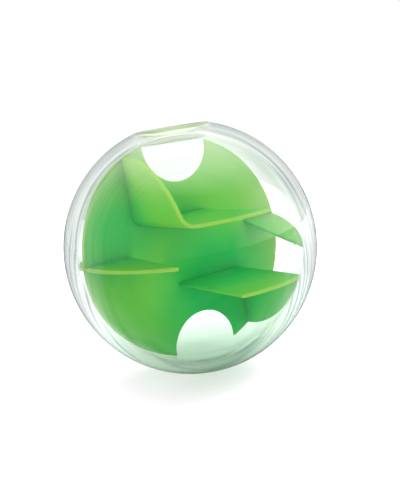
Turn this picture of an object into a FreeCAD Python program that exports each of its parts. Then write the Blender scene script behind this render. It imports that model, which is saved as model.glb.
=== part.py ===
"""Treat-dispensing maze ball: a clear two-part shell round a green maze.

Millimetres. The origin is the ball's lowest point and +Z runs up through the mouth.
The maze's divider stands in the XZ plane, and its front side faces -Y.
Every piece is drawn about the ball's centre, and its Placement lifts it by the radius.
"""
import FreeCAD, Part
import math
import os
import re
import Sketcher

FRONT = FreeCAD.Rotation(0, 0, 0)
HALF_TURN_Y = FreeCAD.Rotation(FreeCAD.Vector(0, 1, 0), 180)
TO_BACK = FreeCAD.Vector(0, 1, 0)
FULL_TURN = 360
SAME_RADIUS = 0.01   # mm that two radii of one edge may differ by
UPRIGHT = 0.99       # least cosine between an upright circle's axis and Z
NOTHING_CUT = 0.99   # share of the volume left by a pocket that missed its piece

# Alias, value in mm, and what it is
SIZES = [
    ("ball_radius", 60.0, "outside of the ball"),
    ("shell_wall", 6.0, "wall of the clear shell"),
    ("mouth_radius", 15.0, "round hole that treats go in and fall out of"),
    ("mouth_round", 1.6, "rounding of the mouth's two edges"),
    ("tongue_width", 1.6, "tongue in the seam, across the wall"),
    ("tongue_height", 1.6, "tongue in the seam, along the axis"),
    ("tongue_play", 0.1, "glue gap round the tongue"),
    ("maze_play", 0.3, "gap between the maze's rims and the shell"),
    ("sheet", 1.6, "thickness of every wall and shelf of the maze"),
    ("notch_radius", 17.5, "round bay in the divider under the mouth and opposite it"),
    ("notch_height", 49.5, "centre of the bay above the ball's centre"),
    ("wall_offset", 27.6, "baffle's wall from the axis"),
    ("shelf_height", 16.0, "baffle's shelf above the ball's centre"),
    ("shelf_reach", 10.0, "baffle's shelf past the axis"),
    ("bend_radius", 5.0, "outside of the bend between wall and shelf"),
    ("side_start", 33.0, "free end of the side shelves from the axis"),
    ("left_root", 2.2, "left shelf's height where it leaves the divider"),
    ("right_root", 6.0, "right shelf's height where it leaves the divider"),
    ("tab_length", 7.0, "each tab along its wall or shelf"),
    ("tab_play", 0.1, "gap round a tab in its slot"),
    ("shelf_tab_from_bend", 5.0, "baffle's shelf tab from its wall's bend"),
    ("wall_tab_from_bend", 8.0, "baffle's wall tab above its shelf's bend"),
    ("left_tab_inset", 3.0, "left shelf's tab from its free end"),
    ("right_tab_inset", 10.0, "right shelf's tab from its free end"),
]

# Alias, value in degrees, and what it is
ANGLES = [
    ("left_slope", 2.5, "fall of the left shelf towards the shell"),
    ("right_slope", 15.0, "fall of the right shelf towards the shell"),
]

# Sizes worked out from the ones above
DERIVED = [
    ("inner_radius", "=ball_radius - shell_wall", "inside of the shell"),
    ("maze_radius", "=inner_radius - maze_play", "outside of the maze"),
    ("seam_radius", "=ball_radius - shell_wall / 2", "middle of the wall"),
    ("half_sheet", "=sheet / 2", "half of a sheet"),
    ("shelf_tab_start", "=wall_offset - bend_radius - shelf_tab_from_bend", "tab's outer end"),
    ("wall_tab_start", "=shelf_height + bend_radius + wall_tab_from_bend", "tab's lower end"),
    ("tab_tip", "=tab_play / 2", "tab's end from the divider's middle, where two tabs meet"),
    ("tab_depth", "=half_sheet - tab_tip", "tab into the divider"),
    ("left_tab_start", "=side_start + left_tab_inset", "tab's inner end"),
    ("right_tab_start", "=side_start + right_tab_inset", "tab's inner end"),
]

doc = FreeCAD.newDocument("maze_ball")
sheet = doc.addObject("Spreadsheet::Sheet", "Sizes")


def fill_sheet():
    """Write each size, its alias and its meaning in a row of its own."""
    for row, (alias, value, meaning) in enumerate(SIZES + ANGLES + DERIVED, start=1):
        sheet.set(f"A{row}", alias)
        sheet.set(f"B{row}", str(value))
        sheet.set(f"C{row}", meaning)
        sheet.setAlias(f"B{row}", alias)
    doc.recompute()


def size(formula):
    """The number that a formula in the sheet's aliases gives."""
    value = sheet.evalExpression(formula)
    return float(getattr(value, "Value", value))


def bound(formula):
    """The same formula as an expression that another object can hold."""
    names = "|".join(row[0] for row in SIZES + ANGLES + DERIVED)
    return re.sub(rf"\b({names})\b", r"Sizes.\1", formula)


def new_body(name):
    """An empty body whose label is the piece's name."""
    body = doc.addObject("PartDesign::Body", name)
    body.Label = name
    return body


def new_sketch(body, name, role, offset=None):
    """A sketch on one of the body's own origin planes, raised by a formula if given."""
    plane = next(f for f in body.Origin.OriginFeatures if f.Role == role)
    sketch = body.newObject("Sketcher::SketchObject", name)
    sketch.AttachmentSupport = [(plane, "")]
    sketch.MapMode = "FlatFace"
    if offset:
        sketch.setExpression("AttachmentOffset.Base.z", bound(offset))
    return sketch


def fix_value(sketch, constraint, name, formula):
    """Add a constraint with a name and tie its value to the sheet."""
    index = sketch.addConstraint(constraint)
    sketch.renameConstraint(index, name)
    sketch.setExpression("Constraints." + name, bound(formula))


def pin_point(sketch, geometry, end, label, across=None, up=None):
    """Hold a point at formulas across and up; 0 puts it on that axis."""
    for axis, formula, kind, line in (("x", across, "DistanceX", -2), ("y", up, "DistanceY", -1)):
        if formula == "0":
            sketch.addConstraint(Sketcher.Constraint("PointOnObject", geometry, end, line))
        elif formula:
            rule = Sketcher.Constraint(kind, -1, 1, geometry, end, size(formula))
            fix_value(sketch, rule, label + axis, formula)


def draw_polygon(sketch, points, label="p"):
    """A closed outline of straight lines through points given as formulas."""
    places = [FreeCAD.Vector(size(across), size(up), 0) for across, up in points]
    first = sketch.GeometryCount
    count = len(points)
    for k in range(count):
        sketch.addGeometry(Part.LineSegment(places[k], places[(k + 1) % count]), False)
    for k in range(count):
        sketch.addConstraint(
            Sketcher.Constraint("Coincident", first + k, 2, first + (k + 1) % count, 1))
        pin_point(sketch, first + k, 1, f"{label}{k}", *points[k])


def draw_circle(sketch, across, up, radius, label="c"):
    """A circle with its centre and radius given as formulas."""
    centre = FreeCAD.Vector(size(across), size(up), 0)
    circle = sketch.addGeometry(Part.Circle(centre, FreeCAD.Vector(0, 0, 1), size(radius)), False)
    fix_value(sketch, Sketcher.Constraint("Radius", circle, size(radius)), label + "r", radius)
    pin_point(sketch, circle, 3, label, across, up)


def add_pad(body, sketch, length, name, reverse=False):
    """Pad a sketch by a formula, towards its normal or away from it."""
    pad = body.newObject("PartDesign::Pad", name)
    pad.Profile = sketch
    pad.setExpression("Length", bound(length))
    pad.Reversed = reverse
    body.Tip = pad
    return pad


def add_revolution(body, sketch, name):
    """Turn a half section all the way round its sketch's vertical axis."""
    turn = body.newObject("PartDesign::Revolution", name)
    turn.Profile = sketch
    turn.ReferenceAxis = (sketch, ["V_Axis"])
    turn.Angle = FULL_TURN
    body.Tip = turn
    return turn


def place(piece, rotation=FRONT):
    """Turn a finished piece about the ball's centre and lift it to its place."""
    piece.Placement = FreeCAD.Placement(FreeCAD.Vector(0, 0, size("ball_radius")), rotation)
    piece.setExpression("Placement.Base.z", bound("ball_radius"))
    return piece


def draw_shell_arc(sketch, radius, low, high):
    """An arc about the ball's centre between two polar angles in radians."""
    circle = Part.Circle(FreeCAD.Vector(0, 0, 0), FreeCAD.Vector(0, 0, 1), size(radius))
    arc = sketch.addGeometry(Part.ArcOfCircle(circle, low, high), False)
    sketch.addConstraint(Sketcher.Constraint("Coincident", arc, 3, -1, 1))
    fix_value(sketch, Sketcher.Constraint("Radius", arc, size(radius)), radius, radius)
    return arc


def join_ends(sketch, chain):
    """Make the end of each piece of geometry the start of the next, all the way round."""
    for k, (geometry, end) in enumerate(chain):
        following, start = chain[(k + 1) % len(chain)][0], 3 - chain[(k + 1) % len(chain)][1]
        sketch.addConstraint(Sketcher.Constraint("Coincident", geometry, end, following, start))


def draw_seam(sketch, inner, outer, play, top):
    """Seam face from the inner arc to the outer one, with its step; returns the lines."""
    middle = "seam_radius"
    low_x = f"{middle} - tongue_width / 2 - {play}"
    high_x = f"{middle} + tongue_width / 2 + {play}"
    corners = [("inner_radius", "0"), (low_x, "0"), (low_x, top), (high_x, top),
               (high_x, "0"), ("ball_radius", "0")]
    places = [FreeCAD.Vector(size(across), size(up), 0) for across, up in corners]
    lines = [sketch.addGeometry(Part.LineSegment(places[k], places[k + 1]), False)
             for k in range(len(corners) - 1)]
    for k in range(1, len(lines)):
        pin_point(sketch, lines[k], 1, f"seam{k}", *corners[k])
    sketch.addConstraint(Sketcher.Constraint("PointOnObject", inner[0], inner[1], -1))
    sketch.addConstraint(Sketcher.Constraint("PointOnObject", outer[0], outer[1], -1))
    return lines


def make_shell_upper():
    """Upper half of the shell: a dome with the mouth and the seam's groove."""
    body = new_body("shell_upper")
    sketch = new_sketch(body, "dome_section", "XZ_Plane")
    outer_top = math.acos(size("mouth_radius / ball_radius"))
    inner_top = math.acos(size("mouth_radius / inner_radius"))
    inner = draw_shell_arc(sketch, "inner_radius", 0, inner_top)
    outer = draw_shell_arc(sketch, "ball_radius", 0, outer_top)
    throat = sketch.addGeometry(Part.LineSegment(
        sketch.Geometry[outer].EndPoint, sketch.Geometry[inner].EndPoint), False)
    lines = draw_seam(sketch, (inner, 1), (outer, 1), "tongue_play", "tongue_height + tongue_play")
    chain = [(line, 2) for line in lines] + [(outer, 2), (throat, 2), (inner, 1)]
    join_ends(sketch, chain)
    pin_point(sketch, outer, 2, "mouth_outer", across="mouth_radius")
    pin_point(sketch, inner, 2, "mouth_inner", across="mouth_radius")
    dome = add_revolution(body, sketch, "dome")
    doc.recompute()
    rims = [f"Edge{k}" for k, edge in enumerate(dome.Shape.Edges, start=1)
            if hasattr(edge.Curve, "Radius")
            and abs(edge.Curve.Radius - size("mouth_radius")) < SAME_RADIUS
            and abs(edge.Curve.Axis.z) > UPRIGHT and edge.Length > size("mouth_radius")]
    lip = body.newObject("PartDesign::Fillet", "mouth_lip")
    lip.Base = (dome, rims)
    lip.setExpression("Radius", bound("mouth_round"))
    body.Tip = lip
    return place(body)


def make_shell_lower():
    """Lower half of the shell: a bowl with the seam's tongue."""
    body = new_body("shell_lower")
    sketch = new_sketch(body, "bowl_section", "XZ_Plane")
    inner = draw_shell_arc(sketch, "inner_radius", -math.pi / 2, 0)
    outer = draw_shell_arc(sketch, "ball_radius", -math.pi / 2, 0)
    axis = sketch.addGeometry(Part.LineSegment(
        sketch.Geometry[outer].StartPoint, sketch.Geometry[inner].StartPoint), False)
    lines = draw_seam(sketch, (inner, 2), (outer, 2), "0", "tongue_height")
    chain = [(line, 2) for line in lines] + [(outer, 1), (axis, 2), (inner, 2)]
    join_ends(sketch, chain)
    pin_point(sketch, outer, 1, "pole_outer", across="0")
    pin_point(sketch, inner, 1, "pole_inner", across="0")
    add_revolution(body, sketch, "bowl")
    return place(body)


def slot_outline(start, end, low, high):
    """Corners of a slot round a tab, with the tab's play on every side."""
    left, right = f"{start} - tab_play", f"{end} + tab_play"
    down, top = f"{low} - tab_play", f"{high} + tab_play"
    return [(left, down), (right, down), (right, top), (left, top)]


def turned(outline, sign):
    """The outline half turned about the ball's centre where sign is -1, still as formulas."""
    return [(f"{sign} * ( {across} )", f"{sign} * ( {up} )") for across, up in outline]


def make_divider():
    """Round plate that parts the ball in two, with a bay at each pole and the tab slots."""
    body = new_body("maze_divider")
    disc = new_sketch(body, "disc_outline", "XZ_Plane", "-1 * half_sheet")
    draw_circle(disc, "0", "0", "maze_radius")
    add_pad(body, disc, "sheet", "disc")
    cuts = new_sketch(body, "bays_and_slots", "XZ_Plane", "half_sheet")
    draw_circle(cuts, "0", "notch_height", "notch_radius", "top")
    draw_circle(cuts, "0", "-1 * notch_height", "notch_radius", "bottom")
    shelf_slot = slot_outline("-1 * shelf_tab_start", "-1 * shelf_tab_start + tab_length",
                              "shelf_height - half_sheet", "shelf_height + half_sheet")
    wall_slot = slot_outline("-1 * wall_offset - half_sheet", "-1 * wall_offset + half_sheet",
                             "wall_tab_start", "wall_tab_start + tab_length")
    for k, sign in enumerate((1, -1)):
        draw_polygon(cuts, turned(shelf_slot, sign), f"shelf{k}_")
        draw_polygon(cuts, turned(wall_slot, sign), f"wall{k}_")
    left_slot = slot_outline("-1 * left_tab_start - tab_length", "-1 * left_tab_start",
                             "left_root - half_sheet", "left_root + half_sheet")
    right_slot = slot_outline("right_tab_start", "right_tab_start + tab_length",
                              "right_root - half_sheet", "right_root + half_sheet")
    draw_polygon(cuts, left_slot, "left_")
    draw_polygon(cuts, right_slot, "right_")
    doc.recompute()
    solid_volume = body.Shape.Volume
    pocket = body.newObject("PartDesign::Pocket", "bays")
    pocket.Profile = cuts
    pocket.setExpression("Length", bound("sheet"))
    body.Tip = pocket
    doc.recompute()
    if pocket.Shape.Volume > NOTHING_CUT * solid_volume:
        pocket.Reversed = True
    return place(body)


def trim_to_ball(body, name, rotation):
    """Cut a piece's outer edge to the round inside of the shell, and put it in place."""
    envelope = doc.addObject("Part::Sphere", name + "_envelope")
    envelope.setExpression("Radius", bound("maze_radius"))
    trimmed = doc.addObject("Part::Common", name)
    trimmed.Label = name
    trimmed.Base = body
    trimmed.Tool = envelope
    return place(trimmed, rotation)


def draw_baffle_section(sketch):
    """Wall and shelf as one bent strip of even thickness, with a round bend."""
    outer_x, outer_y = "-1 * wall_offset - half_sheet", "shelf_height - half_sheet"
    inner_x, inner_y = "-1 * wall_offset + half_sheet", "shelf_height + half_sheet"
    bend_x, bend_y = outer_x + " + bend_radius", outer_y + " + bend_radius"
    centre = FreeCAD.Vector(size(bend_x), size(bend_y), 0)
    corners = [(outer_x, bend_y), (outer_x, "maze_radius"), (inner_x, "maze_radius"),
               (inner_x, bend_y), (bend_x, inner_y), ("shelf_reach", inner_y),
               ("shelf_reach", outer_y), (bend_x, outer_y)]
    spots = [FreeCAD.Vector(size(across), size(up), 0) for across, up in corners]
    wall = [sketch.addGeometry(Part.LineSegment(spots[k], spots[k + 1]), False) for k in range(3)]
    shelf = [sketch.addGeometry(Part.LineSegment(spots[k], spots[k + 1]), False)
             for k in range(4, 7)]
    arcs = []
    for radius in ("bend_radius - sheet", "bend_radius"):
        circle = Part.Circle(centre, FreeCAD.Vector(0, 0, 1), size(radius))
        arcs.append(sketch.addGeometry(Part.ArcOfCircle(circle, math.pi, 1.5 * math.pi), False))
    join_ends(sketch, [(wall[0], 2), (wall[1], 2), (wall[2], 2), (arcs[0], 2),
                       (shelf[0], 2), (shelf[1], 2), (shelf[2], 2), (arcs[1], 1)])
    for k, line in enumerate(wall):
        pin_point(sketch, line, 1, f"wall{k}", *corners[k])
    pin_point(sketch, wall[2], 2, "wall3", *corners[3])
    for k, line in enumerate(shelf):
        pin_point(sketch, line, 1, f"shelf{k}", *corners[4 + k])
    pin_point(sketch, shelf[2], 2, "shelf3", *corners[7])
    pin_point(sketch, arcs[0], 3, "inner_bend", bend_x)
    pin_point(sketch, arcs[1], 3, "outer_bend", bend_x)


def make_baffle(name, rotation):
    """Bent strip: a wall beside the axis that turns into a shelf, with a tab on each."""
    body = new_body(name + "_blank")
    section = new_sketch(body, name + "_section", "XZ_Plane", "half_sheet")
    draw_baffle_section(section)
    add_pad(body, section, "maze_radius", name + "_strip")
    tabs = new_sketch(body, name + "_tabs", "XZ_Plane", "tab_tip")
    shelf_start = "-1 * shelf_tab_start"
    low, high = "shelf_height - half_sheet", "shelf_height + half_sheet"
    draw_polygon(tabs, [(shelf_start, low), (shelf_start + " + tab_length", low),
                        (shelf_start + " + tab_length", high), (shelf_start, high)], "shelf")
    left, right = "-1 * wall_offset - half_sheet", "-1 * wall_offset + half_sheet"
    draw_polygon(tabs, [(left, "wall_tab_start"), (right, "wall_tab_start"),
                        (right, "wall_tab_start + tab_length"),
                        (left, "wall_tab_start + tab_length")], "wall")
    add_pad(body, tabs, "tab_depth", name + "_tab_pads")
    return trim_to_ball(body, name, rotation)


def make_side_shelf(name, side, root, slope, tab_start):
    """Sloping shelf from the divider out to the shell, open towards the ball's axis."""
    body = new_body(name + "_blank")
    section = new_sketch(body, name + "_section", "YZ_Plane", f"{side} * side_start")
    near, far = "-1 * half_sheet", "-1 * half_sheet - maze_radius"
    drop = f"maze_radius * tan( {slope} * 1 deg )"
    draw_polygon(section, [(near, f"{root} - half_sheet"), (near, f"{root} + half_sheet"),
                           (far, f"{root} + half_sheet - {drop}"),
                           (far, f"{root} - half_sheet - {drop}")])
    add_pad(body, section, "maze_radius - side_start", name + "_plate", reverse=side < 0)
    tab = new_sketch(body, name + "_tab", "XZ_Plane", "tab_tip")
    start, end = f"{side} * {tab_start}", f"{side} * ( {tab_start} + tab_length )"
    draw_polygon(tab, [(start, f"{root} - half_sheet"), (end, f"{root} - half_sheet"),
                       (end, f"{root} + half_sheet"), (start, f"{root} + half_sheet")])
    add_pad(body, tab, "tab_depth", name + "_tab_pad")
    return trim_to_ball(body, name, FRONT)


def mirror_to_back(name, front_piece):
    """The piece's mirror image on the divider's other side."""
    image = doc.addObject("Part::Mirroring", name)
    image.Label = name
    image.Source = front_piece
    image.Base = FreeCAD.Vector(0, 0, 0)
    image.Normal = TO_BACK
    return image


def make_pieces():
    """Every separate piece of the ball; the back of the maze mirrors the front."""
    fronts = [make_baffle("front_upper_baffle", FRONT),
              make_baffle("front_lower_baffle", HALF_TURN_Y),
              make_side_shelf("front_left_shelf", -1, "left_root", "left_slope", "left_tab_start"),
              make_side_shelf("front_right_shelf", 1, "right_root", "right_slope",
                              "right_tab_start")]
    doc.recompute()
    backs = [mirror_to_back(piece.Label.replace("front", "back"), piece) for piece in fronts]
    return [make_shell_lower(), make_shell_upper(), make_divider()] + fronts + backs


def check(pieces):
    """Stop if any object of the document failed or a piece has no valid solid."""
    for item in doc.Objects:
        if "Invalid" in item.State or "Error" in item.State:
            raise RuntimeError(f"{item.Name} failed: {item.State}")
    for piece in pieces:
        if piece.Shape.isNull() or not piece.Shape.isValid():
            raise RuntimeError(f"{piece.Label} has no valid shape")
        print(f"{piece.Label:20s} solids {len(piece.Shape.Solids)}"
              f" volume {piece.Shape.Volume:10.1f} mm3")


def write_parts(pieces):
    """One STEP file for each piece, named after it."""
    os.makedirs("parts", exist_ok=True)
    for piece in pieces:
        piece.Shape.exportStep(f"parts/{piece.Label}.step")


fill_sheet()
all_pieces = make_pieces()
doc.recompute()
check(all_pieces)
write_parts(all_pieces)
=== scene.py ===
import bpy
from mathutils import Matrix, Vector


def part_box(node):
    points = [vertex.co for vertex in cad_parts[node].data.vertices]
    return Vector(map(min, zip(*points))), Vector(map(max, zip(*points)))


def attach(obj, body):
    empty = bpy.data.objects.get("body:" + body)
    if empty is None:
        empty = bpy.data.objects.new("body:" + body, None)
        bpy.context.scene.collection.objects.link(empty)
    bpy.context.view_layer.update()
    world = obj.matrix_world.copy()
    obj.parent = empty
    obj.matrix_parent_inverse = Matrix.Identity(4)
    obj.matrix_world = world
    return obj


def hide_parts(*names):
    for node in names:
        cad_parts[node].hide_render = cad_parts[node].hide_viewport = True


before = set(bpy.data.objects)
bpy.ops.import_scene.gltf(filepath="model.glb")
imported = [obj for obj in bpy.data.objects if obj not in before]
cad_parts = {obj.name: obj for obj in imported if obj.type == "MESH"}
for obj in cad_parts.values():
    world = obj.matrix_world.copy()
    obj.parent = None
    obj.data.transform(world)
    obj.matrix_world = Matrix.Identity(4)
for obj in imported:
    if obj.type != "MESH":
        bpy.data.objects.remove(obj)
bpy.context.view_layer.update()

import bmesh
import bpy
import math
from mathutils import Matrix, Vector

bl_info = {
    "name": "Treat Maze Ball",
    "version": (1, 0, 0),
    "blender": (4, 5, 0),
    "location": "3D View > Sidebar > Maze Ball",
    "description": "Builds the looks of a clear ball with a green maze inside",
    "category": "Add Mesh",
}

MM = 0.001
BALL_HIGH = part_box("shell_lower")[1]
DIVIDER_LOW, DIVIDER_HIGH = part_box("maze_divider")
BAFFLE_LOW, BAFFLE_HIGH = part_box("front_upper_baffle")
LEFT_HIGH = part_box("front_left_shelf")[1]
RIGHT_LOW, RIGHT_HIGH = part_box("front_right_shelf")
CENTRE = Vector((0, 0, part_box("shell_upper")[0].z))
ROOT_BODY = "root"

# Carry an upper front piece to its other places round the ball's centre
TO_LOWER = Matrix.Rotation(math.pi, 3, "Y")
TO_BACK = Matrix.Diagonal((1, -1, 1))
PLACES = {"front_upper": Matrix.Identity(3), "front_lower": TO_LOWER,
          "back_upper": TO_BACK, "back_lower": TO_BACK @ TO_LOWER}

# Side shelves: word, side of the axis, top of the root, and fall in degrees
SIDE_SHELVES = (("left", -1, LEFT_HIGH.z, 2.5), ("right", 1, RIGHT_HIGH.z, 15.0))

# Steps along each form
TURN_STEPS = 320     # round the ball's axis
BOWL_STEPS = 90      # lower half, from the foot to the seam
DOME_STEPS = 80      # upper half, from the seam to the mouth
SEAM_STEPS = 16      # beside the seam on each half
LIP_STEPS = 26       # each rounding of the mouth
THROAT_STEPS = 8     # straight wall between those roundings
CORNER_STEPS = 5     # each rounding of the maze
WALL_STEPS = 40      # baffle's wall, and its shelf
BEND_STEPS = 12      # bend between them
SHELF_STEPS = 48     # side shelf
RIM_STEPS = 120      # divider's rim on one side
BAY_STEPS = 80       # one bay of the divider

SEAM_REACH = 6       # half widths of the seam that get the finer steps
FLANK_GUARD = 0.02   # share of a sheet's flank from a rounding to the point that keeps it flat
FLAT_RINGS = (3, 1.5)   # roundings from the divider's rim to the plain rings on its faces
END_MARGIN = 1.01    # roundings between a sheet's end and its first plain station
PATH_END = 2.4       # half sheets that a wall still stands out where its path ends
LEAST_REACH = 2.2    # half sheets that a wall stands out at the least
CREASE = math.radians(50)   # turn from which an edge is shaded sharp

# Heights from the ball's centre over which the shell's tint and its painted green light come in
CROWN_SPAN = (-10 * MM, 50 * MM)
THROAT_SPAN = (0, 30 * MM)
FOOT_SPAN = (-45 * MM, -16 * MM)

# The same for distances past the mouth's wall, and past the maze's rim for the painted glow along
# its edges
LIP_SPAN = (0.2 * MM, 3 * MM)
RIM_GLOW_SPAN = (-0.9 * MM, -0.1 * MM)
LIP_CLEARNESS = 0.5

# How far painted light pales the maze, by height from the centre and by distance to the right of
# it
TOP_HAZE, TOP_SPAN = 0.6, (24 * MM, 48 * MM)
SIDE_HAZE, SIDE_SPAN = 0.4, (22 * MM, 52 * MM)

# Pools of painted shade, where the maze is shaded under a shelf and beside a wall: x and z from
# the centre, openness there, and the distances over which the pool fades
SHADE_POOLS = ((14 * MM, -22 * MM, 0.0, 16 * MM, 42 * MM), (-36 * MM, 15 * MM, 0.25, 5 * MM, 26 * MM))
# Reach of the ambient occlusion that paints shade into the maze's corners
CORNER_REACH = 60 * MM

# Image that the camera is set for, and the ball's middle in it, in pixels
IMAGE_WIDTH, IMAGE_HEIGHT = 400, 500
BALL_PIXEL = (190.4, 247.0)
SENSOR_WIDTH = 36.0
CLIP_START = 0.01

# What the ball's outside mirrors, against white, and the cosines over which it comes in
BEYOND, BEYOND_SPAN = 0.6, (-0.6, 0.0)
OVERHEAD_SPAN = (0.66, 0.95)
WINDOW, WINDOW_SPAN = 2.2, (0.55, 1.0)
MIRRORED_FLOOR = 0.15

# What light turned inside the wall shows: the room behind the camera, the streaks, and the
# floor towards the camera and by its distance from the ball
WHITE = (1.0, 1.0, 1.0)
REAR, REAR_SPAN = 0.42, (0.0, 0.8)
STREAK, STREAK_SPAN = (0.42, 0.52, 0.51), (0.38, 0.53)
STREAK_RINGS = 20.0
NEAR_FLOOR, NEAR_SPAN = 0.25, (-0.02, 0.06)
FLOOR_LEVELS = (1.15, 0.70)

# Floor in metres: its half side, and where a pink tint beside the ball, painted against the green
# light that the maze throws there, gives way to the floor's own colour
FLOOR_REACH = 6.0
FLOOR_SPAN = (0.05, 0.15)
FLOOR_COUNTER_GREEN = (0.98, 0.87, 0.98)

# Key light in metres and watts
KEY_PLACE = (0.80, 0.15, 0.70)
KEY_POWER = 7.0
KEY_SIDE = 0.7


def length(name, description, default):
    """A size in metres that a user can change."""
    return bpy.props.FloatProperty(name=name, description=description, default=default,
                                   unit="LENGTH", precision=5, min=0.0)


def colour(name, description, default):
    """A plain colour that a user can change."""
    return bpy.props.FloatVectorProperty(name=name, description=description, default=default,
                                         subtype="COLOR", size=3, min=0.0, max=1.0)


class BallSizes(bpy.types.PropertyGroup):
    """Sizes of the ball's pieces; places come from the frame."""
    ball_radius: length("Ball radius", "Outside of the clear shell", BALL_HIGH.x)
    shell_wall: length("Shell wall", "Wall of the clear shell", 6 * MM)
    mouth_radius: length("Mouth radius", "Round hole at the top", 15 * MM)
    mouth_round: length("Mouth rounding", "Rounding of the mouth's edges", 1.6 * MM)
    seam_depth: length("Seam depth", "Depth of the line where the halves meet", 0.010 * MM)
    seam_width: length("Seam width", "Half width of that line", 0.2 * MM)
    sheet: length("Sheet", "Thickness of the maze's walls", DIVIDER_HIGH.y - DIVIDER_LOW.y)
    edge_round: length("Edge rounding", "Rounding of the maze's free edges", 0.5 * MM)
    root_round: length("Root rounding", "Fillet where a wall meets the divider", 0.3 * MM)
    maze_radius: length("Maze radius", "Outside of the maze", DIVIDER_HIGH.x)
    bay_radius: length("Bay radius", "Round bay at each pole of the divider", 17.5 * MM)
    bay_height: length("Bay height", "Centre of the bay from the ball's centre", 49.5 * MM)
    bend_radius: length("Bend radius", "Outside of the bend in a baffle", 5 * MM)


class BallColours(bpy.types.PropertyGroup):
    """Colours of the ball's materials."""
    clear: colour("Clear", "Tint of the shell", (0.975, 0.99, 0.982))
    depth: colour("Depth", "Tint of the shell where one looks along its wall", (0.78, 0.85, 0.83))
    # Partly the shell's own tint, partly painted green light from the maze towards the mouth
    crown: colour("Crown", "The same tint towards the mouth", (0.70, 0.87, 0.70))
    throat: colour("Throat", "Green light that the wall carries to the mouth", (0.78, 0.83, 0.58))
    foot: colour("Foot", "Green light that the wall carries to the foot", (0.83, 0.965, 0.86))
    # Painted shade: darker, bluer green where the maze's corners and pools lie in shade
    painted_shade_green: colour("Deep green", "Maze in its corners", (0.001, 0.58, 0.13))
    green: colour("Green", "Maze in the open", (0.026, 0.51, 0.068))
    fresh: colour("Fresh green", "Paler clouds in the maze", (0.060, 0.55, 0.066))
    # Painted glow: yellow-green light along the maze's thin edges
    rim_glow: colour("Lime", "Colour of the maze's thin edges", (0.30, 0.62, 0.10))
    glow: colour("Glow", "Light that comes through the maze", (0.70, 0.84, 0.16))
    # Painted shade on the light that comes through the maze's corners
    shade: colour("Shade", "Light that comes through its corners", (0.01, 0.67, 0.29))
    # Painted light: the maze paler where light falls in from above and aside
    haze: colour("Haze", "Maze where the light falls in from above and aside", (0.52, 0.62, 0.37))
    floor: colour("Floor", "Studio floor", (0.93, 0.93, 0.93))


class StageSettings(bpy.types.PropertyGroup):
    """Camera and light of the studio."""
    azimuth: bpy.props.FloatProperty(
        name="Azimuth", description="Camera's direction round the ball",
        default=math.radians(-31.8), subtype="ANGLE")
    elevation: bpy.props.FloatProperty(
        name="Elevation", description="Camera's height above the ball's middle",
        default=math.radians(9.18), subtype="ANGLE")
    roll: bpy.props.FloatProperty(
        name="Roll", description="Lean of the camera about its own line of sight",
        default=math.radians(9.2), subtype="ANGLE")
    distance: length("Distance", "Camera from the ball's middle", 429.6 * MM)
    lens: bpy.props.FloatProperty(
        name="Lens", description="Focal length on a 36 mm sensor, in millimetres", default=64.8)
    brightness: bpy.props.FloatProperty(
        name="Brightness", description="Strength of the white surroundings", default=1.45)
    room: bpy.props.FloatProperty(
        name="Room", description="How bright the room behind the camera is", default=0.3)
    overhead: bpy.props.FloatProperty(
        name="Overhead", description="How bright the soft light above mirrors", default=3.2)


def add_object(name, vertices, faces, material, smooth=True):
    """A mesh object from points in metres, with one material on all of it."""
    mesh = bpy.data.meshes.new(name)
    mesh.from_pydata([tuple(v) for v in vertices], [], faces)
    mesh.validate()
    mesh.materials.append(material)
    mesh.polygons.foreach_set("use_smooth", [smooth] * len(mesh.polygons))
    obj = bpy.data.objects.new(name, mesh)
    bpy.context.scene.collection.objects.link(obj)
    return obj


def finish_edges(obj):
    """Point every face outwards and keep the creases sharp."""
    shape = bmesh.new()
    shape.from_mesh(obj.data)
    bmesh.ops.recalc_face_normals(shape, faces=shape.faces)
    shape.to_mesh(obj.data)
    shape.free()
    obj.data.set_sharp_from_angle(angle=CREASE)


def ring_faces(rows, count, start=0, turned=False):
    """Faces between neighbouring rings of points; turned ones face the other way."""
    faces = []
    for j in range(rows - 1):
        near, far = start + j * count, start + (j + 1) * count
        for k in range(count):
            after = (k + 1) % count
            face = (near + k, near + after, far + after, far + k)
            faces.append((face[0], *reversed(face[1:])) if turned else face)
    return faces


def capped_rings(rows, count, turned=False):
    """Faces of a row of closed rings, with a cap on the first and on the last."""
    first, last = range(count), range((rows - 1) * count, rows * count)
    caps = (first, reversed(last)) if turned else (reversed(first), last)
    return ring_faces(rows, count, turned=turned) + [tuple(cap) for cap in caps]


def arc(centre, radius, start, stop, steps):
    """Points and outward normals along an arc in the section plane."""
    points = []
    for k in range(steps + 1):
        angle = start + (stop - start) * k / steps
        out = (math.cos(angle), math.sin(angle))
        points.append((centre[0] + radius * out[0], centre[1] + radius * out[1], *out))
    return points


def flipped(points):
    """The same points in the other order with their normals turned round."""
    return [(r, z, -a, -b) for r, z, a, b in reversed(points)]


def seam_dip(point, sizes):
    """Sink a section point beside the seam and lean its normal to suit."""
    r, z, a, b = point
    dip = sizes.seam_depth * math.exp(-(z / sizes.seam_width) ** 2)
    slope = -2 * z / sizes.seam_width ** 2 * dip
    lean = Vector((a, b + slope * a)).normalized()
    return (r - dip, z, lean.x, lean.y)


def wall_section(sizes, radius, turns, steps):
    """Section along one side of the shell's wall, through three angles in two runs of steps."""
    points = arc((0, 0), radius, turns[0], turns[1], steps[0])
    points += arc((0, 0), radius, turns[1], turns[2], steps[1])[1:]
    return [seam_dip(point, sizes) for point in points]


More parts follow.
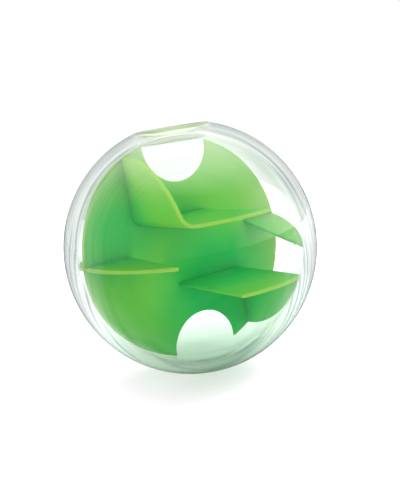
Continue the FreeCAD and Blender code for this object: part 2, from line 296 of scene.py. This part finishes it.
def half_shell_section(sizes, upper):
    """Section of one shell half about the ball's centre: one chain round the mouth for the
    upper half, and one for each side of the wall for the lower half."""
    outer, inner = sizes.ball_radius, sizes.ball_radius - sizes.shell_wall
    near_seam = SEAM_REACH * sizes.seam_width / outer
    if not upper:
        turns, steps = (-math.pi / 2, -near_seam, 0), (BOWL_STEPS, SEAM_STEPS)
        return [wall_section(sizes, outer, turns, steps),
                flipped(wall_section(sizes, inner, turns, steps))]
    mouth, lip = sizes.mouth_radius, sizes.mouth_round
    high = math.sqrt((outer - lip) ** 2 - (mouth + lip) ** 2)
    low = math.sqrt((inner + lip) ** 2 - (mouth + lip) ** 2)
    top = math.atan2(high, mouth + lip)
    under = math.atan2(low, mouth + lip)
    steps = (SEAM_STEPS, DOME_STEPS)
    outside = wall_section(sizes, outer, (0, near_seam, top), steps)
    inside = wall_section(sizes, inner, (0, near_seam, under), steps)
    round_over = arc((mouth + lip, high), lip, top, math.pi, LIP_STEPS)
    throat = [(mouth, high + (low - high) * k / THROAT_STEPS, -1, 0)
              for k in range(1, THROAT_STEPS)]
    round_under = arc((mouth + lip, low), lip, math.pi, math.pi + under, LIP_STEPS)
    return [outside + round_over[1:] + throat + round_under + flipped(inside)[1:]]


def lathe(name, chains, material):
    """Turn open section chains round the ball's axis, with exact normals."""
    vertices, faces, normals = [], [], []
    for chain in chains:
        faces += ring_faces(len(chain), TURN_STEPS, start=len(vertices))
        for r, z, a, b in chain:
            for k in range(TURN_STEPS):
                turn = 2 * math.pi * k / TURN_STEPS
                vertices.append((r * math.cos(turn), r * math.sin(turn), CENTRE.z + z))
                normals.append((a * math.cos(turn), a * math.sin(turn), b))
    obj = add_object(name, vertices, faces, material)
    obj.data.normals_split_custom_set_from_vertices(normals)
    return obj


def quarter_round(radius):
    """Pairs along a rounding: the first falls from the radius to 0, the second rises to it."""
    turns = [math.pi / 2 * k / CORNER_STEPS for k in range(CORNER_STEPS + 1)]
    return [(radius * (1 - math.sin(turn)), radius * (1 - math.cos(turn))) for turn in turns]


def strip_ring(half, foot, tip, edge, root):
    """Closed cross-section of a sheet, as (offset across the sheet, y) pairs."""
    side = [(half + falling, foot - rising) for falling, rising in quarter_round(root)]
    guard = FLANK_GUARD * (foot - root - tip - edge)
    side += [(half, foot - root - guard), (half, tip + edge + guard)]
    side += [(half - rising, tip + falling) for falling, rising in quarter_round(edge)]
    return side + [(-offset, y) for offset, y in reversed(side)]


def sheet_along(stations, sizes):
    """A sheet that stands on the divider along a path, out to the round shell.

    Each station is a point (x, z) about the ball's centre and the sheet's normal there."""
    half, edge = sizes.sheet / 2, sizes.edge_round
    ends = []
    for (end, normal), (inward, _) in (stations[:2], stations[:-3:-1]):
        along = (Vector(end) - Vector(inward)).normalized()
        ends.append([(tuple(Vector(end) - along * falling), normal, rising)
                     for falling, rising in quarter_round(edge)])
    tips = (Vector(stations[0][0]), Vector(stations[-1][0]))
    middle = [(point, normal, 0.0) for point, normal in stations
              if all((Vector(point) - tip).length > END_MARGIN * edge for tip in tips)]
    path = ends[0][::-1] + middle + ends[1]
    vertices = []
    for (x, z), normal, shrink in path:
        reach = math.sqrt(max(sizes.maze_radius ** 2 - x * x - z * z, (LEAST_REACH * half) ** 2))
        ring = strip_ring(half - shrink, -half, -reach + shrink, min(edge, half - shrink),
                          sizes.root_round)
        for offset, y in ring:
            vertices.append((x + normal[0] * offset, y, z + normal[1] * offset))
    return vertices, capped_rings(len(path), len(vertices) // len(path))


def place_sheet(shape, turn, node, material):
    """Put a sheet drawn for the front in its place and let it stand for its node."""
    vertices, faces = shape
    places = [turn @ Vector(v) + CENTRE for v in vertices]
    obj = add_object(node + "_sheet", places, faces, material)
    finish_edges(obj)
    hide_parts(node)
    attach(obj, ROOT_BODY)
    return obj


def baffle_path(sizes):
    """Middle line of the bent strip: down the wall, round the bend, along the shelf."""
    half = sizes.sheet / 2
    wall_x, shelf_z = BAFFLE_LOW.x + half, BAFFLE_LOW.z - CENTRE.z + half
    reach = BAFFLE_HIGH.x
    bend = sizes.bend_radius - half
    turn_x, turn_z = wall_x + bend, shelf_z + bend
    limit = math.sqrt(sizes.maze_radius ** 2 - (PATH_END * half) ** 2)
    top_z = math.sqrt(limit ** 2 - wall_x ** 2)
    path = [((wall_x, top_z + (turn_z - top_z) * k / WALL_STEPS), (1, 0))
            for k in range(WALL_STEPS)]
    for k in range(BEND_STEPS + 1):
        angle = math.pi + math.pi / 2 * k / BEND_STEPS
        out = (math.cos(angle), math.sin(angle))
        path.append(((turn_x + bend * out[0], turn_z + bend * out[1]), (-out[0], -out[1])))
    path += [((turn_x + (reach - turn_x) * k / WALL_STEPS, shelf_z), (0, 1))
             for k in range(1, WALL_STEPS + 1)]
    return path


def side_shelf_sheet(sizes, side, root_z, slope):
    """A sloping shelf: a sheet along X whose rim follows the shell."""
    half = sizes.sheet / 2
    start = abs(LEFT_HIGH.x) if side < 0 else RIGHT_LOW.x
    limit = math.sqrt(sizes.maze_radius ** 2 - (PATH_END * half) ** 2 - root_z ** 2)
    rise = math.tan(slope)
    path = []
    for k in range(SHELF_STEPS + 1):
        x = start + (limit - start) * math.sin(math.pi / 2 * k / SHELF_STEPS)
        path.append(((side * x, 0.0), (0, 1)))
    vertices, faces = sheet_along(path, sizes)
    sloped = []
    for x, y, z in vertices:
        depth = -y - half
        height = root_z + z - depth * rise
        reach = math.sqrt(max(sizes.maze_radius ** 2 - x * x - height ** 2, 0.0))
        y = max(y, -reach) if depth > sizes.sheet else y
        sloped.append((x, y, root_z + z - (-y - half) * rise))
    return sloped, faces


def divider_outline(sizes, inset):
    """Edge of the round plate with its two bays, moved inwards by the inset."""
    outer, bay, height = sizes.maze_radius - inset, sizes.bay_radius + inset, sizes.bay_height
    corner_z = (outer ** 2 + height ** 2 - bay ** 2) / (2 * height)
    corner_x = math.sqrt(outer ** 2 - corner_z ** 2)
    rim_end = math.atan2(corner_z, corner_x)
    bay_end = math.atan2(corner_z - height, corner_x)
    turns = [rim_end * (2 * k / RIM_STEPS - 1) for k in range(RIM_STEPS + 1)]
    edge = [(outer * math.cos(turn), outer * math.sin(turn)) for turn in turns]
    for k in range(1, BAY_STEPS):
        turn = bay_end - (math.pi + 2 * bay_end) * k / BAY_STEPS
        edge.append((bay * math.cos(turn), height + bay * math.sin(turn)))
    return edge + [(-x, -z) for x, z in edge]


def make_divider(sizes, material):
    """Round plate with rounded rims and a bay at each pole."""
    half, edge = sizes.sheet / 2, sizes.edge_round
    profile = [(share * edge, -half) for share in FLAT_RINGS]
    profile += [(falling, -half + rising) for falling, rising in quarter_round(edge)]
    profile += [(inset, -y) for inset, y in reversed(profile)]
    vertices = []
    for inset, y in profile:
        vertices += [(x, y, CENTRE.z + z) for x, z in divider_outline(sizes, inset)]
    faces = capped_rings(len(profile), len(vertices) // len(profile), turned=True)
    obj = add_object("divider_plate", vertices, faces, material)
    finish_edges(obj)
    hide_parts("maze_divider")
    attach(obj, ROOT_BODY)


def new_material(name):
    """A node material with its Principled shader."""
    material = bpy.data.materials.new(name)
    material.use_nodes = True
    return material, material.node_tree, material.node_tree.nodes["Principled BSDF"]


def add_noise(tree, place, scale, detail):
    """Value of a noise texture at a place."""
    texture = tree.nodes.new("ShaderNodeTexNoise")
    texture.inputs["Scale"].default_value = scale
    texture.inputs["Detail"].default_value = detail
    tree.links.new(place, texture.inputs["Vector"])
    return texture.outputs["Fac"]


def add_range(tree, source, result, span=(0.0, 1.0)):
    """Map a value from a span to the first and last number of the result."""
    node = tree.nodes.new("ShaderNodeMapRange")
    node.inputs["From Min"].default_value, node.inputs["From Max"].default_value = span
    node.inputs["To Min"].default_value, node.inputs["To Max"].default_value = result
    tree.links.new(source, node.inputs["Value"])
    return node.outputs["Result"]


def add_height_range(tree, place, result, span):
    """Map a place's height above the ball's centre."""
    node = tree.nodes.new("ShaderNodeSeparateXYZ")
    tree.links.new(place, node.inputs["Vector"])
    return add_range(tree, node.outputs["Z"], result, [CENTRE.z + end for end in span])


def add_blend(tree, factor, first, second):
    """Mix two colours; each is a plain colour or another node's output."""
    node = tree.nodes.new("ShaderNodeMix")
    node.data_type = "RGBA"
    tree.links.new(factor, node.inputs["Factor"])
    for name, value in (("A", first), ("B", second)):
        if isinstance(value, bpy.types.NodeSocket):
            tree.links.new(value, node.inputs[name])
        else:
            node.inputs[name].default_value = (*value, 1)
    return node.outputs["Result"]


def add_math(tree, operation, first, second):
    """A Math node; each side is a number or another node's output."""
    node = tree.nodes.new("ShaderNodeMath")
    node.operation = operation
    for socket, value in zip(node.inputs, (first, second)):
        if isinstance(value, (int, float)):
            socket.default_value = value
        else:
            tree.links.new(value, socket)
    return node.outputs["Value"]


def add_vector_math(tree, operation, source, second=(0, 0, 0)):
    """A Vector Math node on another node's output; the second side is plain numbers."""
    node = tree.nodes.new("ShaderNodeVectorMath")
    node.operation = operation
    tree.links.new(source, node.inputs[0])
    node.inputs[1].default_value = second
    measures = operation in ("LENGTH", "DISTANCE", "DOT_PRODUCT")
    return node.outputs["Value" if measures else "Vector"]


def add_dimmer(tree, source, factor):
    """A colour times another node's value."""
    node = tree.nodes.new("ShaderNodeVectorMath")
    node.operation = "SCALE"
    tree.links.new(source, node.inputs[0])
    tree.links.new(factor, node.inputs["Scale"])
    return node.outputs["Vector"]


def add_bump(tree, shader, height, strength, distance):
    """Bump the shader's surface by another node's value."""
    node = tree.nodes.new("ShaderNodeBump")
    node.inputs["Strength"].default_value = strength
    node.inputs["Distance"].default_value = distance
    tree.links.new(height, node.inputs["Height"])
    tree.links.new(node.outputs["Normal"], shader.inputs["Normal"])


def clear_elastomer(colours, sizes):
    """Clear soft plastic with faint flow lines, half milky in the mouth's wall, and tinted
    towards the mouth and the foot by green light from the maze."""
    material, tree, shader = new_material("clear_elastomer")
    place = tree.nodes.new("ShaderNodeTexCoord").outputs["Object"]
    facing = tree.nodes.new("ShaderNodeLayerWeight").outputs["Facing"]
    grazing = add_range(tree, facing, (0.0, 1.0), span=(0.4, 0.9))
    # Towards the mouth the grazing tint takes on painted green light
    upper = add_height_range(tree, place, (0.0, 1.0), CROWN_SPAN)
    tint = add_blend(tree, grazing, colours.clear,
                     add_blend(tree, upper, colours.depth, colours.crown))
    low = add_height_range(tree, place, (1.0, 0.0), FOOT_SPAN)
    tint = add_blend(tree, low, tint, colours.foot)
    level = add_vector_math(tree, "MULTIPLY", place, (1, 1, 0))
    beside_hole = add_range(tree, add_vector_math(tree, "LENGTH", level), (1.0, 0.0),
                            span=[sizes.mouth_radius + end for end in LIP_SPAN])
    high = add_height_range(tree, place, (0.0, 1.0), THROAT_SPAN)
    mouth = add_math(tree, "MULTIPLY", beside_hole, high)
    tree.links.new(add_blend(tree, mouth, tint, colours.throat), shader.inputs["Base Color"])
    tree.links.new(add_range(tree, mouth, (1.0, LIP_CLEARNESS)),
                   shader.inputs["Transmission Weight"])
    shader.inputs["IOR"].default_value = 1.5
    smear = add_noise(tree, place, scale=60.0, detail=3.0)
    tree.links.new(add_range(tree, smear, (0.0, 0.02), span=(0.45, 0.75)),
                   shader.inputs["Roughness"])
    flow = add_noise(tree, place, scale=22.0, detail=1.0)
    add_bump(tree, shader, flow, strength=0.06, distance=0.8 * MM)
    return material


def green_sheet(colours, sizes):
    """Translucent plastic: painted shade makes it darker green in its corners and pools; it is
    paler in the open, painted light pales it where light falls in from above and aside, a painted
    glow runs along its thin rims, and it is yellow-green where light comes through it."""
    material, tree, shader = new_material("green_sheet")
    place = tree.nodes.new("ShaderNodeTexCoord").outputs["Object"]
    from_centre = add_vector_math(tree, "DISTANCE", place, tuple(CENTRE))
    # Mask for the painted glow along the maze's rim
    rim = add_range(tree, from_centre, (0.0, 1.0),
                    span=[sizes.maze_radius + end for end in RIM_GLOW_SPAN])
    cloud = add_noise(tree, place, scale=35.0, detail=4.0)
    clouded = add_range(tree, cloud, (0.0, 1.0), span=(0.35, 0.7))
    # Ambient occlusion paints shade: the maze turns darker green in its corners
    corners = tree.nodes.new("ShaderNodeAmbientOcclusion")
    corners.samples = 8
    corners.inputs["Distance"].default_value = CORNER_REACH
    lit = add_range(tree, corners.outputs["AO"], (0.0, 1.0), span=(0.25, 0.72))
    # Each pool paints more shade at its place
    for x, z, openness, near, far in SHADE_POOLS:
        away = add_vector_math(tree, "DISTANCE", place, (x, 0, CENTRE.z + z))
        fade = add_range(tree, away, (openness, 1.0), span=(near, far))
        lit = add_math(tree, "MULTIPLY", lit, fade)
    # Back faces inside a sheet count as lit; elsewhere the painted shade of corners and pools
    # holds
    within = tree.nodes.new("ShaderNodeNewGeometry").outputs["Backfacing"]
    out_of_painted_shade = add_math(tree, "MAXIMUM", within, lit)
    # Painted light: paler towards the top and to the right
    top = add_height_range(tree, place, (0.0, TOP_HAZE), TOP_SPAN)
    across = add_vector_math(tree, "DOT_PRODUCT", place, (1, 0, 0))
    side = add_range(tree, across, (0.0, SIDE_HAZE), span=SIDE_SPAN)
    painted_light_pale = add_math(tree, "MAXIMUM", top, side)
    # Painted shade: darker green where the maze lies out of the light
    body = add_blend(tree, out_of_painted_shade, colours.painted_shade_green,
                     add_blend(tree, clouded, colours.green, colours.fresh))
    body = add_blend(tree, painted_light_pale, body, colours.haze)
    tree.links.new(add_blend(tree, rim, body, colours.rim_glow), shader.inputs["Base Color"])
    shader.inputs["IOR"].default_value = 1.47
    shader.inputs["Specular IOR Level"].default_value = 0.2
    tree.links.new(add_range(tree, cloud, (0.28, 0.42)), shader.inputs["Roughness"])
    grain = add_noise(tree, place, scale=900.0, detail=2.0)
    add_bump(tree, shader, grain, strength=0.12, distance=0.2 * MM)
    glow = tree.nodes.new("ShaderNodeBsdfTranslucent")
    # The light through the maze gets the same painted shade in its corners
    tree.links.new(add_blend(tree, out_of_painted_shade, colours.shade, colours.glow),
                   glow.inputs["Color"])
    both = tree.nodes.new("ShaderNodeMixShader")
    both.inputs["Fac"].default_value = 0.5
    tree.links.new(shader.outputs["BSDF"], both.inputs[1])
    tree.links.new(glow.outputs["BSDF"], both.inputs[2])
    tree.links.new(both.outputs["Shader"], tree.nodes["Material Output"].inputs["Surface"])
    return material


def shared_green(context):
    """The maze's one material, made the first time it is asked for."""
    made = bpy.data.materials.get("green_sheet")
    return made or green_sheet(context.scene.ball_colours, context.scene.ball_sizes)


class MAZEBALL_OT_shell(bpy.types.Operator):
    """Make the two clear halves of the shell"""
    bl_idname = "maze_ball.shell"
    bl_label = "Clear Shell"

    def execute(self, context):
        sizes = context.scene.ball_sizes
        clear = clear_elastomer(context.scene.ball_colours, sizes)
        for name, node, upper in (("clear_dome", "shell_upper", True),
                                  ("clear_bowl", "shell_lower", False)):
            half = lathe(name, half_shell_section(sizes, upper), clear)
            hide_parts(node)
            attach(half, ROOT_BODY)
            half.visible_shadow = half.visible_diffuse = False
        return {"FINISHED"}


class MAZEBALL_OT_divider(bpy.types.Operator):
    """Make the round plate that parts the ball in two"""
    bl_idname = "maze_ball.divider"
    bl_label = "Divider"

    def execute(self, context):
        make_divider(context.scene.ball_sizes, shared_green(context))
        return {"FINISHED"}


class MAZEBALL_OT_baffles(bpy.types.Operator):
    """Make the four bent baffles"""
    bl_idname = "maze_ball.baffles"
    bl_label = "Baffles"

    def execute(self, context):
        sizes = context.scene.ball_sizes
        for spot, turn in PLACES.items():
            made = sheet_along(baffle_path(sizes), sizes)
            place_sheet(made, turn, spot + "_baffle", shared_green(context))
        return {"FINISHED"}


class MAZEBALL_OT_side_shelves(bpy.types.Operator):
    """Make the four side shelves beside the shell"""
    bl_idname = "maze_ball.side_shelves"
    bl_label = "Side Shelves"

    def execute(self, context):
        sizes = context.scene.ball_sizes
        for face in ("front", "back"):
            for word, side, high, fall in SIDE_SHELVES:
                root_z = high - CENTRE.z - sizes.sheet / 2
                made = side_shelf_sheet(sizes, side, root_z, math.radians(fall))
                place_sheet(made, PLACES[face + "_upper"], f"{face}_{word}_shelf",
                                    shared_green(context))
        return {"FINISHED"}


def camera_frame(settings):
    """Camera's right, up and back directions, leaned by its roll."""
    a, e, roll = settings.azimuth, settings.elevation, settings.roll
    back = Vector((math.sin(a) * math.cos(e), -math.cos(a) * math.cos(e), math.sin(e)))
    right = Vector((math.cos(a), math.sin(a), 0))
    up = back.cross(right)
    leaned_right = right * math.cos(roll) - up * math.sin(roll)
    leaned_up = right * math.sin(roll) + up * math.cos(roll)
    return leaned_right, leaned_up, back


def make_camera(settings):
    """Camera at the photograph's angle, aimed so that the ball sits where it does there."""
    focal_pixels = settings.lens / SENSOR_WIDTH * IMAGE_HEIGHT
    right, up, back = camera_frame(settings)
    aside = (BALL_PIXEL[0] - IMAGE_WIDTH / 2) / focal_pixels
    above = (IMAGE_HEIGHT / 2 - BALL_PIXEL[1]) / focal_pixels
    look = (-back - right * aside - up * above).normalized()
    side = look.cross(up).normalized()
    upright = side.cross(look)
    camera = bpy.data.objects.new("camera", bpy.data.cameras.new("camera"))
    camera.data.lens = settings.lens
    camera.data.sensor_width = SENSOR_WIDTH
    camera.data.clip_start = CLIP_START
    camera.matrix_world = Matrix.Translation(CENTRE + back * settings.distance) @ Matrix(
        (side, upright, -look)).transposed().to_4x4()
    bpy.context.scene.collection.objects.link(camera)
    bpy.context.scene.camera = camera


def make_key_light():
    """A square softbox that faces the ball. It lights the scene, but no mirror shows it."""
    light = bpy.data.lights.new("key", "AREA")
    light.shape = "RECTANGLE"
    light.size, light.size_y, light.energy = KEY_SIDE, KEY_SIDE, KEY_POWER
    obj = bpy.data.objects.new("key", light)
    obj.location = KEY_PLACE
    obj.rotation_mode = "QUATERNION"
    obj.rotation_quaternion = (CENTRE - Vector(KEY_PLACE)).to_track_quat("-Z", "Y")
    obj.visible_glossy = obj.visible_transmission = False
    bpy.context.scene.collection.objects.link(obj)


def light_paths(tree):
    """Two masks: a reflection off the ball's outside, and light turned inside its wall."""
    path = tree.nodes.new("ShaderNodeLightPath").outputs
    mirrored = add_math(tree, "GREATER_THAN", path["Glossy Depth"], 0.5)
    direct = add_math(tree, "LESS_THAN", path["Diffuse Depth"], 0.5)
    through = add_math(tree, "GREATER_THAN", path["Transmission Depth"], 0.5)
    either = add_math(tree, "MULTIPLY", mirrored, direct)
    inside = add_math(tree, "MULTIPLY", either, through)
    return add_math(tree, "SUBTRACT", either, inside), inside


def along_axis(tree, source, axis, result, span):
    """How far a point or direction reaches along an axis, mapped to a brightness."""
    return add_range(tree, add_vector_math(tree, "DOT_PRODUCT", source, axis), result, span)


def add_streaks(tree, direction, axis):
    """Pale grey streaks round an axis, white between them, by the direction from the ball."""
    streaks = tree.nodes.new("ShaderNodeTexNoise")
    streaks.noise_dimensions = "4D"
    streaks.inputs["Scale"].default_value = 1.8
    streaks.inputs["Detail"].default_value = 2.0
    tree.links.new(direction, streaks.inputs["Vector"])
    rings = along_axis(tree, direction, axis, (0.0, STREAK_RINGS), (-1.0, 1.0))
    tree.links.new(rings, streaks.inputs["W"])
    between = add_range(tree, streaks.outputs["Fac"], (0.0, 1.0), STREAK_SPAN)
    return add_blend(tree, between, STREAK, WHITE)


def make_world(settings):
    """White surroundings. The ball's outside mirrors a dim room in their place, with soft
    light above and aside, and light turned inside the wall shows them with grey streaks."""
    world = bpy.data.worlds.new("studio")
    world.use_nodes = True
    tree = world.node_tree
    background = tree.nodes["Background"]
    path = tree.nodes.new("ShaderNodeLightPath").outputs
    seen_plainly = add_math(tree, "MAXIMUM", path["Is Camera Ray"], path["Is Glossy Ray"])
    tree.links.new(add_range(tree, seen_plainly, (settings.brightness, 1.0)),
                   background.inputs["Strength"])
    direction = tree.nodes.new("ShaderNodeTexCoord").outputs["Generated"]
    right, up, back = camera_frame(settings)
    behind = along_axis(tree, direction, back, (BEYOND, settings.room), BEYOND_SPAN)
    above = along_axis(tree, direction, up, (0.0, settings.overhead), OVERHEAD_SPAN)
    aside = along_axis(tree, direction, right, (0.0, WINDOW), WINDOW_SPAN)
    room = add_math(tree, "MAXIMUM", add_math(tree, "MAXIMUM", behind, above), aside)
    turned_twice = add_math(tree, "GREATER_THAN", path["Glossy Depth"], 1.5)
    rear = along_axis(tree, direction, back, (1.0, REAR), REAR_SPAN)
    streaked = add_dimmer(tree, add_streaks(tree, direction, back),
                          add_math(tree, "MAXIMUM", turned_twice, rear))
    mirrored, inside = light_paths(tree)
    seen = add_blend(tree, inside, WHITE, streaked)
    tree.links.new(add_blend(tree, mirrored, seen, room), background.inputs["Color"])
    bpy.context.scene.world = world


def make_floor(colours, settings):
    """Pale matt floor. The ball's outside mirrors it dimly, and light turned inside the wall
    shows it with grey streaks, darker on the camera's side."""
    material, tree, shader = new_material("studio_floor")
    shader.inputs["Roughness"].default_value = 0.9
    shader.inputs["Specular IOR Level"].default_value = 0.1
    place = tree.nodes.new("ShaderNodeTexCoord").outputs["Object"]
    back = camera_frame(settings)[2]
    near = along_axis(tree, place, back, (1.0, NEAR_FLOOR), NEAR_SPAN)
    far = add_range(tree, add_vector_math(tree, "LENGTH", place), (0.0, 1.0), FLOOR_SPAN)
    level = add_math(tree, "MULTIPLY", near, add_range(tree, far, FLOOR_LEVELS))
    from_centre = add_vector_math(tree, "SUBTRACT", place, tuple(CENTRE))
    direction = add_vector_math(tree, "NORMALIZE", from_centre)
    streaked = add_dimmer(tree, add_streaks(tree, direction, back), level)
    mirrored, inside = light_paths(tree)
    # Beside the ball a painted pink tint cancels the green light that the maze throws on the
    # floor
    seen = add_blend(tree, inside, add_blend(tree, far, FLOOR_COUNTER_GREEN, colours.floor), streaked)
    dim = [MIRRORED_FLOOR * c for c in colours.floor]
    tree.links.new(add_blend(tree, mirrored, seen, dim), shader.inputs["Base Color"])
    corners = [(-FLOOR_REACH, -FLOOR_REACH, 0), (FLOOR_REACH, -FLOOR_REACH, 0),
               (FLOOR_REACH, FLOOR_REACH, 0), (-FLOOR_REACH, FLOOR_REACH, 0)]
    floor = add_object("floor", corners, [(0, 1, 2, 3)], material, smooth=False)


class MAZEBALL_OT_stage(bpy.types.Operator):
    """Make the floor, the soft studio light and the camera"""
    bl_idname = "maze_ball.stage"
    bl_label = "Studio"

    def execute(self, context):
        make_floor(context.scene.ball_colours, context.scene.stage_settings)
        make_world(context.scene.stage_settings)
        make_key_light()
        make_camera(context.scene.stage_settings)
        context.scene.view_settings.view_transform = "Standard"
        return {"FINISHED"}


class MAZEBALL_PT_panel(bpy.types.Panel):
    """The ball's operators and settings"""
    bl_idname = "MAZEBALL_PT_panel"
    bl_label = "Maze Ball"
    bl_space_type = "VIEW_3D"
    bl_region_type = "UI"
    bl_category = "Maze Ball"

    def draw(self, context):
        for operator in OPERATORS:
            self.layout.operator(operator.bl_idname)
        for group in (context.scene.ball_sizes, context.scene.ball_colours,
                      context.scene.stage_settings):
            for name in group.__annotations__:
                self.layout.prop(group, name)


GROUPS = {"ball_sizes": BallSizes, "ball_colours": BallColours, "stage_settings": StageSettings}
OPERATORS = (MAZEBALL_OT_shell, MAZEBALL_OT_divider, MAZEBALL_OT_baffles,
             MAZEBALL_OT_side_shelves, MAZEBALL_OT_stage)


def register():
    """Add the classes and the scene's settings."""
    for cls in (*GROUPS.values(), *OPERATORS, MAZEBALL_PT_panel):
        bpy.utils.register_class(cls)
    for name, group in GROUPS.items():
        setattr(bpy.types.Scene, name, bpy.props.PointerProperty(type=group))


def unregister():
    """Take the settings and the classes away again."""
    for name in GROUPS:
        delattr(bpy.types.Scene, name)
    for cls in reversed((*GROUPS.values(), *OPERATORS, MAZEBALL_PT_panel)):
        bpy.utils.unregister_class(cls)


def main():
    """Build the whole ball and its studio."""
    register()
    bpy.ops.maze_ball.shell()
    bpy.ops.maze_ball.divider()
    bpy.ops.maze_ball.baffles()
    bpy.ops.maze_ball.side_shelves()
    bpy.ops.maze_ball.stage()


if __name__ == "__main__":
    main()
